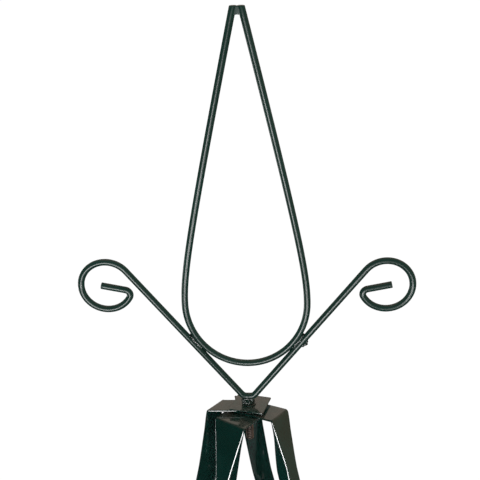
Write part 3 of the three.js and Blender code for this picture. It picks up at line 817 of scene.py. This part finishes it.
class Run:
    """One leg's course, from the stack of tabs at the crown to the ground."""

    def __init__(self, leg):
        azimuth = math.radians(leg["azimuth"])
        twist = math.radians(leg["twist"])
        self.leg = leg
        self.outward = Vector((math.cos(azimuth), math.sin(azimuth), 0))
        self.side = Vector((-math.sin(azimuth), math.cos(azimuth), 0))
        self.tab_direction = self.outward * math.cos(twist) + self.side * math.sin(twist)
        self.tab_top = CROWN_Z - PLATE_T - GAP - leg["level"] * TAB_PITCH
        self.fold_start = self.tab_direction * leg["fold"] + UP * self.tab_top
        foot = self.outward * FOOT_RADIUS
        reach = FOOT_RADIUS - (self.fold_start.dot(self.outward) + FOLD_BEND)
        splay = math.atan2(reach, self.tab_top - FOLD_BEND)
        self.fold_angle = math.pi / 2 - splay
        self.top = self.fold_point(self.fold_angle)
        self.down = (foot - self.top).normalized()
        self.across = (self.side - self.down * self.side.dot(self.down)).normalized()
        self.inward = self.down.cross(self.across).normalized()
        if self.inward.dot(self.outward) > 0:
            self.inward.negate()

    def fold_point(self, angle):
        return self.fold_start + self.outward * (FOLD_BEND * math.sin(angle)) \
            - UP * (FOLD_BEND * (1 - math.cos(angle)))

    def at_z(self, z):
        """How far down the leg its outer face reaches a height."""
        return (self.top.z - z) / -self.down.z

    def point(self, distance):
        return self.top + self.down * distance

    def screw(self, hoop_z):
        return self.at_z(hoop_z) - PAD_OFFSET

    def pad_middle(self, hoop_z):
        return self.point(self.at_z(hoop_z)) + self.inward * (TUBE + GAP + PAD_T)


def ring_at(section, origin, across, inward):
    return ([origin + across * x + inward * y for x, y, _ in section], [w for _, _, w in section])


def tube_ring(run, distance, inset=0.0):
    size = TUBE - 2 * inset
    section = tube_section(size, size, max(TUBE_CORNER - inset, 0.5))
    return ring_at(section, run.point(distance) + run.inward * inset, run.across, run.inward)


def tube_rows(run, start, end, inset=0.0, spacing=30):
    """Rows of rings from one distance to another, close enough to follow the paint's ripple."""
    count = max(1, round(abs(end - start) / spacing))
    return [tube_ring(run, start + (end - start) * i / count, inset) for i in range(count + 1)]


def drill(run, distance, diameter, reach=5):
    centre = run.point(distance)
    rings = [[centre + run.inward * depth + run.across * (diameter / 2 * math.cos(2 * math.pi * i / 28))
              + run.down * (diameter / 2 * math.sin(2 * math.pi * i / 28)) for i in range(28)]
             for depth in (-reach, TUBE + reach)]
    return Shape().skin(rings)


def pressed_rows(run):
    """The flat tab, the fold and the flare to full section, with the pinched side walls of pressed tube."""
    leg = run.leg
    width, flare = leg["width"], leg["flare"]
    flat = tube_section(width, PRESSED_THICKNESS, TUBE_CORNER)
    narrow = tube_section(width * math.cos(math.radians(leg["twist"])), PRESSED_THICKNESS, TUBE_CORNER)
    tab_across = UP.cross(run.tab_direction)
    tab_end = -run.tab_direction * TAB_BEYOND_BOLT + UP * run.tab_top
    first, marks = ring_at(narrow, tab_end, tab_across, -UP)
    last, _ = ring_at(flat, run.fold_start, run.side, -UP)
    rows = []
    for i in range(13):
        rows.append(([a.lerp(b, i / 12) for a, b in zip(first, last)], marks))
    fold_steps = 10
    for i in range(1, fold_steps + 1):
        angle = run.fold_angle * i / fold_steps
        inward = -run.outward * math.sin(angle) - UP * math.cos(angle)
        rows.append(ring_at(flat, run.fold_point(angle), run.side, inward))
    flare_steps = 26
    for i in range(flare_steps + 1):
        t = i / flare_steps
        eased = t * t * (3 - 2 * t) * 0.35 + t * 0.65
        thickness = PRESSED_THICKNESS + (TUBE - PRESSED_THICKNESS) * eased
        across = width + (TUBE - width) * eased
        pinch = 1.5 * math.sin(math.pi * min(1.0, t * 1.05)) ** 2
        section = tube_section(across, thickness, TUBE_CORNER, pinch)
        rows.append(ring_at(section, run.point(PRESSED_BEFORE_FLARE + flare * t), run.across, run.inward))
    return rows


def from_rows(rows, looped=False):
    return Shape().skin([points for points, _ in rows], [marks for _, marks in rows], looped)


def upper_leg(run):
    name = run.leg["name"]
    joint = run.at_z(JOINT_Z)
    flare_end = PRESSED_BEFORE_FLARE + run.leg["flare"]
    rows = pressed_rows(run)
    rows += tube_rows(run, flare_end + 12, joint)
    rows += tube_rows(run, joint, flare_end + 1, WALL)
    obj = loose_object("upper", from_rows(rows).mesh("upper"))
    bolt_hole = prism(round_outline(BOLT_HOLE_D, 36), -25, 8)
    tools = [moved(bolt_hole, Matrix.Translation((0, 0, CROWN_Z)))]
    tools += [drill(run, run.screw(z), SCREW_HOLE_D) for z in HOOPS.values() if z > JOINT_Z]
    smooth(cut(obj, tools), 44)
    piece(f"leg_upper_{name}_pressed", obj, "root", PAINT, f"leg_upper_{name}")


def lower_leg(run):
    name = run.leg["name"]
    joint = run.at_z(JOINT_Z) + GAP
    end = run.at_z(FOOT_END)
    spigot_top = joint - SPIGOT_LENGTH
    inset = WALL + SPIGOT_CLEARANCE
    rows = [tube_ring(run, spigot_top, inset + 0.5), tube_ring(run, spigot_top + 2, inset),
            tube_ring(run, joint, inset)]
    rows += tube_rows(run, joint, end)
    rows += [tube_ring(run, end, WALL), tube_ring(run, joint + 4, WALL), tube_ring(run, joint, inset + WALL),
             tube_ring(run, spigot_top, inset + WALL)]
    obj = loose_object("lower", from_rows(rows, looped=True).mesh("lower"))
    tools = [drill(run, run.screw(z), SCREW_HOLE_D) for z in HOOPS.values()
             if z < JOINT_Z or run.screw(z) > spigot_top]
    smooth(cut(obj, tools), 44)
    piece(f"leg_lower_{name}_tube", obj, "root", PAINT, f"leg_lower_{name}")


def foot(run):
    """A moulded cap with a softened lip round the leg, two grip lines and a sole level with the ground."""
    name = run.leg["name"]
    end = run.at_z(FOOT_END)
    pocket = TUBE + 2 * GAP
    outer = pocket + 2 * FOOT_WALL
    middle = run.inward * (TUBE / 2)

    def block(size, distance, corner):
        return [run.point(distance) + middle + run.across * x + run.inward * (y - size / 2)
                for x, y, _ in tube_section(size, size, corner)]

    def to_ground(points, height):
        return [p + run.down * ((p.z - height) / -run.down.z) for p in points]

    lip = end - FOOT_UP_LEG
    levels = [(pocket, end + GAP, 1.5), (pocket, lip + 0.8, 1.5), (pocket + 0.5, lip + 0.2, 1.7),
              (pocket + 1.6, lip, 2.0), (outer - 1.0, lip, 2.2), (outer - 0.3, lip + 0.3, 2.4),
              (outer, lip + 1.0, 2.5)]
    for groove in (lip + 5.0, lip + 8.5):
        levels += [(outer, groove - 0.9, 2.5), (outer - 0.9, groove - 0.3, 2.4),
                   (outer - 0.9, groove + 0.3, 2.4), (outer, groove + 0.9, 2.5)]
    rings = [block(*level) for level in levels]
    straight = block(outer, lip + 12, 2.5)
    rings += [straight, to_ground(straight, 1.0), to_ground(block(outer - 0.5, lip + 12, 2.4), 0.3),
              to_ground(block(outer - 1.3, lip + 12, 2.2), 0.0)]
    obj = loose_object("foot", Shape().skin(rings).mesh("foot"))
    smooth(obj, 40)
    piece(f"foot_{name}_moulded", obj, "root", PLASTIC, f"foot_{name}")


# ---------------------------------------------------------------- hoops, screws and nuts
def hoop_frames(corners):
    """Frames along a closed hoop: an arc at every corner, then the straight side to the next one."""
    frames = []
    for i, corner in enumerate(corners):
        arriving = (corner - corners[i - 1]).normalized()
        leaving = (corners[(i + 1) % 4] - corner).normalized()
        turned = (leaving - arriving * leaving.dot(arriving)).normalized()
        level = arriving.cross(turned)
        start = corner - arriving * HOOP_BEND
        steps = 12
        for k in range(steps + 1):
            angle = k / steps * math.pi / 2
            centre = start + arriving * (HOOP_BEND * math.sin(angle))
            centre += turned * (HOOP_BEND * (1 - math.cos(angle)))
            frames.append((centre, turned * math.cos(angle) - arriving * math.sin(angle), level))
        following = corners[(i + 1) % 4] - leaving * HOOP_BEND
        last = frames[-1][0]
        sideways = level.cross(leaving).normalized()
        for k in range(1, 6):
            frames.append((last.lerp(following, k / 6), sideways, level))
    return frames


def hoop_pad(run, hoop_z, middle):
    """A flat drilled pad that lies against the inner face of one leg."""
    top = middle - run.inward * PAD_T
    half = PAD_LENGTH / 2
    rows = []
    for distance, shrink in ((-half, 0.5), (-half + 0.5, 0.0), (half - 0.5, 0.0), (half, 0.5)):
        section = tube_section(TUBE - 2 * shrink, PAD_T, 0.4, steps=2)
        rows.append(ring_at(section, top + run.down * distance, run.across, run.inward))
    pad = loose_object("pad", from_rows(rows).mesh("pad"))
    cut(pad, [drill(run, run.screw(hoop_z), SCREW_HOLE_D, reach=9)])
    return smooth(pad, 44, weighted=False)


def pad_weld(run, middle, chance):
    """Lumps of weld on both sides of the bar where it crosses a pad."""
    lumps = []
    for sign in (-1, 1):
        for i in range(5):
            t = -3.6 + 7.2 * i / 4
            centre = middle + run.down * (PAD_OFFSET + sign * 2.2)
            centre += run.across * (t + chance.uniform(-0.3, 0.3))
            centre += run.inward * (0.5 + 0.035 * t * t)
            size = 1.5 + chance.uniform(-0.2, 0.25)
            lumps.append((centre, (size, size, size * 0.9)))
    return lumps


def hoop(label, hoop_z, runs):
    """A round bar bent through four corners, on drilled pads, with a run of weld on each pad."""
    reach = HOOP_BEND * (math.sqrt(2) - 1)
    corners = [run.pad_middle(hoop_z) + run.inward * (ROD / 2 - WELD_SINK - reach) + run.down * PAD_OFFSET
               for run in runs]
    rings, wear_and_painted_shading = rounded_bar(hoop_frames(corners), ROD / 2, 20, ends=False)
    shape = Shape().skin(rings, wear_and_painted_shading, looped=True)
    bar = smooth(loose_object("bar", shape.mesh("bar")), 60, weighted=False)
    parts = [bar]
    lumps = []
    chance = random.Random(hoop_z)
    for run in runs:
        middle = run.pad_middle(hoop_z)
        parts.append(hoop_pad(run, hoop_z, middle))
        lumps += pad_weld(run, middle, chance)
    with bpy.context.temp_override(
            active_object=bar, selected_editable_objects=parts, selected_objects=parts):
        bpy.ops.object.join()
    piece(f"hoop_{label}_bent", bar, "root", PAINT, f"hoop_{label}")
    blob(f"hoop_{label}_welds", lumps, 0.4, "root")


def screw(run, label, hoop_z):
    """A button-head screw with a socket, through leg and pad, with thread marks where it leaves the nut."""
    end = NUT_START + LEG_NUT_HEIGHT + SCREW_BEYOND_NUT
    sides = 36
    profile = [(SCREW_HEAD_D / 2 - 0.35, -GAP), (SCREW_HEAD_D / 2, -GAP - 0.3)]
    for i in range(1, 9):
        angle = math.pi / 2 * i / 9
        z = -GAP - 0.3 - (SCREW_HEAD_T - 0.3) * math.sin(angle)
        profile.append((SCREW_HEAD_D / 2 * math.cos(angle), z))
    shank = [(SCREW_D / 2, -GAP)]
    z = TUBE + 0.5
    while z < end - 0.8:
        shank += [(SCREW_D / 2, z), (SCREW_D / 2 - 0.4, z + 0.4)]
        z += 0.8
    shank += [(SCREW_D / 2 - 0.2, end - 0.5), (SCREW_D / 2 - 0.7, end)]
    rings = [[Vector((r * math.cos(2 * math.pi * i / sides), r * math.sin(2 * math.pi * i / sides), z))
              for i in range(sides)] for r, z in [*reversed(profile), *shank]]
    obj = loose_object("screw", Shape().skin(rings).mesh("screw"))
    cut(obj, [prism(hexagon(3.0), -GAP - SCREW_HEAD_T - 1, -GAP - SCREW_HEAD_T + 1.5)])
    lengthwise = place(run.point(run.screw(hoop_z)), run.across, run.inward.cross(run.across), run.inward)
    put(obj, lengthwise)
    smooth(obj, 38)
    name = run.leg["name"]
    piece(f"screw_{label}_{name}_button", obj, "root", STEEL, f"screw_{label}_{name}")
    hex_nut(f"nut_{label}_{name}_hex", f"nut_{label}_{name}", LEG_NUT_ACROSS_FLATS, LEG_NUT_HEIGHT,
            SCREW_D + 2 * GAP, lengthwise @ Matrix.Translation((0, 0, NUT_START)), "root")


# ---------------------------------------------------------------- assembly
finial_v_bar()
finial_loop()
tip_weld()
loop_welds()
apex_weld()
bolt()
crown_plate()
flat_washer("finial_washer_flat", "finial_washer", WASHER_D, WASHER_T, GAP / 2, PAINT)
stack_bottom = -PLATE_T - GAP - len(LEGS) * TAB_PITCH
lower_washer_z = stack_bottom - WASHER_T - 0.4
flat_washer("crown_lower_washer_flat", "crown_lower_washer", WASHER_D + 3, WASHER_T + 0.4, lower_washer_z,
            STEEL)
nut_place = Matrix.Translation((0, 0, CROWN_Z + lower_washer_z - GAP - CROWN_NUT_HEIGHT)) \
    @ Matrix.Rotation(math.radians(20), 4, "Z")
hex_nut("crown_nut_hex", "crown_nut", CROWN_NUT_ACROSS_FLATS, CROWN_NUT_HEIGHT, BOLT_D + 2 * GAP, nut_place,
        "finial")

runs = [Run(leg) for leg in LEGS]
for run in runs:
    upper_leg(run)
    lower_leg(run)
    foot(run)
around = sorted(runs, key=lambda run: run.leg["azimuth"] % 360)
for label, hoop_z in HOOPS.items():
    hoop(label, hoop_z, around)
    for run in runs:
        screw(run, label, hoop_z)

# ---------------------------------------------------------------- floor, light and camera
floor_shape = Shape()
floor_shape.points = [Vector((x, y, -0.4)) for x, y in ((-9e4, -9e4), (9e4, -9e4), (9e4, 9e4), (-9e4, 9e4))]
floor_shape.faces = [(0, 1, 2, 3)]
floor_shape.wear_and_painted_shading = [0.0] * 4
floor = loose_object("floor", floor_shape.mesh("floor"))
floor.data.materials.append(floor_paper())
floor.visible_glossy = False


def studio_world():
    """White all round for the floor and soft light; what the gloss mirrors is a dim warm room."""
    world = bpy.data.worlds.new("studio")
    world.use_nodes = True
    bpy.context.scene.world = world
    world.cycles.sampling_method = "NONE"
    n = Nodes(world.node_tree)
    direction = n.add("ShaderNodeSeparateXYZ", {"Vector": n.add("ShaderNodeTexCoord").outputs["Generated"]})
    x, y, z = direction.outputs
    level = n.band(z, -0.62, -0.02)
    right = n.math("MULTIPLY", n.band(x, 0.25, 0.95), level)
    behind = n.math("MULTIPLY", n.band(y, 0.15, 0.8), n.band(z, -0.12, 0.2))
    backdrop = n.math("MULTIPLY", n.band(y, 0.45, 0.8), n.band(z, -0.49, -0.57))
    room = n.mix(right, rgba(0.012, 0.02, 0.02), rgba(0.34, 0.245, 0.16))
    room = n.mix(behind, room, rgba(0.54, 0.46, 0.39))
    room = n.mix(backdrop, room, rgba(0.9, 0.92, 0.92))
    seen = n.add("ShaderNodeLightPath").outputs["Is Glossy Ray"]
    mirrored = n.add("ShaderNodeBackground", {"Color": room, "Strength": 1.0})
    white = n.add("ShaderNodeBackground", {"Color": rgba(1, 1, 1), "Strength": 1.15})
    both = n.add("ShaderNodeMixShader", {0: seen, 1: white.outputs[0], 2: mirrored.outputs[0]})
    n.add("ShaderNodeOutputWorld", {"Surface": both.outputs[0]})


def panel(name, azimuth, distance, low, high, width, radiance):
    """An upright soft panel, in metres, that faces the object's middle and shows only in its gloss."""
    data = bpy.data.lights.new(name, "AREA")
    data.shape = "RECTANGLE"
    data.size = width
    data.size_y = high - low
    data.energy = radiance * math.pi * width * (high - low)
    lamp = bpy.data.objects.new(name, data)
    bpy.context.scene.collection.objects.link(lamp)
    angle = math.radians(azimuth)
    lamp.location = (distance * math.cos(angle), distance * math.sin(angle), (low + high) / 2)
    facing = Vector((-math.cos(angle), -math.sin(angle), 0))
    lamp.rotation_mode = "QUATERNION"
    lamp.rotation_quaternion = facing.to_track_quat("-Z", "Y")
    lamp.visible_camera = False
    lamp.visible_diffuse = False


studio_world()
panel("back_left", 147, 2.4, 0.0, 0.72, 0.45, 8.0)
panel("front_low", 247, 2.4, 0.02, 1.0, 1.15, 21.0)
panel("front_right_low", 279, 2.4, 0.0, 0.30, 0.7, 36.0)
panel("front_high", 262, 2.4, 1.12, 1.9, 1.9, 2.0)

# The camera looks down at the finial from a little above it.
CAMERA_FRAME_TURN = math.radians(-6.0)
PITCH, ROLL, YAW = 0.384, -0.032, -0.0055
forward = Vector((math.sin(YAW) * math.cos(PITCH), math.cos(YAW) * math.cos(PITCH), -math.sin(PITCH)))
right = forward.cross(UP).normalized()
upward = right.cross(forward)
right, upward = (right * math.cos(ROLL) + upward * math.sin(ROLL),
                 upward * math.cos(ROLL) - right * math.sin(ROLL))
turn = Matrix.Rotation(CAMERA_FRAME_TURN, 4, "Z")
seat = turn @ place(Vector((0.8, -807.0, 501.7)) * MM, right, upward, -forward)
camera_data = bpy.data.cameras.new("camera")
camera_data.sensor_width = 36
camera_data.lens = 70.5
camera_data.clip_end = 400
camera = bpy.data.objects.new("camera", camera_data)
bpy.context.scene.collection.objects.link(camera)
camera.matrix_world = Matrix.Translation((0, 0, CROWN_Z * MM)) @ seat
bpy.context.scene.camera = camera
bpy.context.scene.view_settings.view_transform = "Standard"
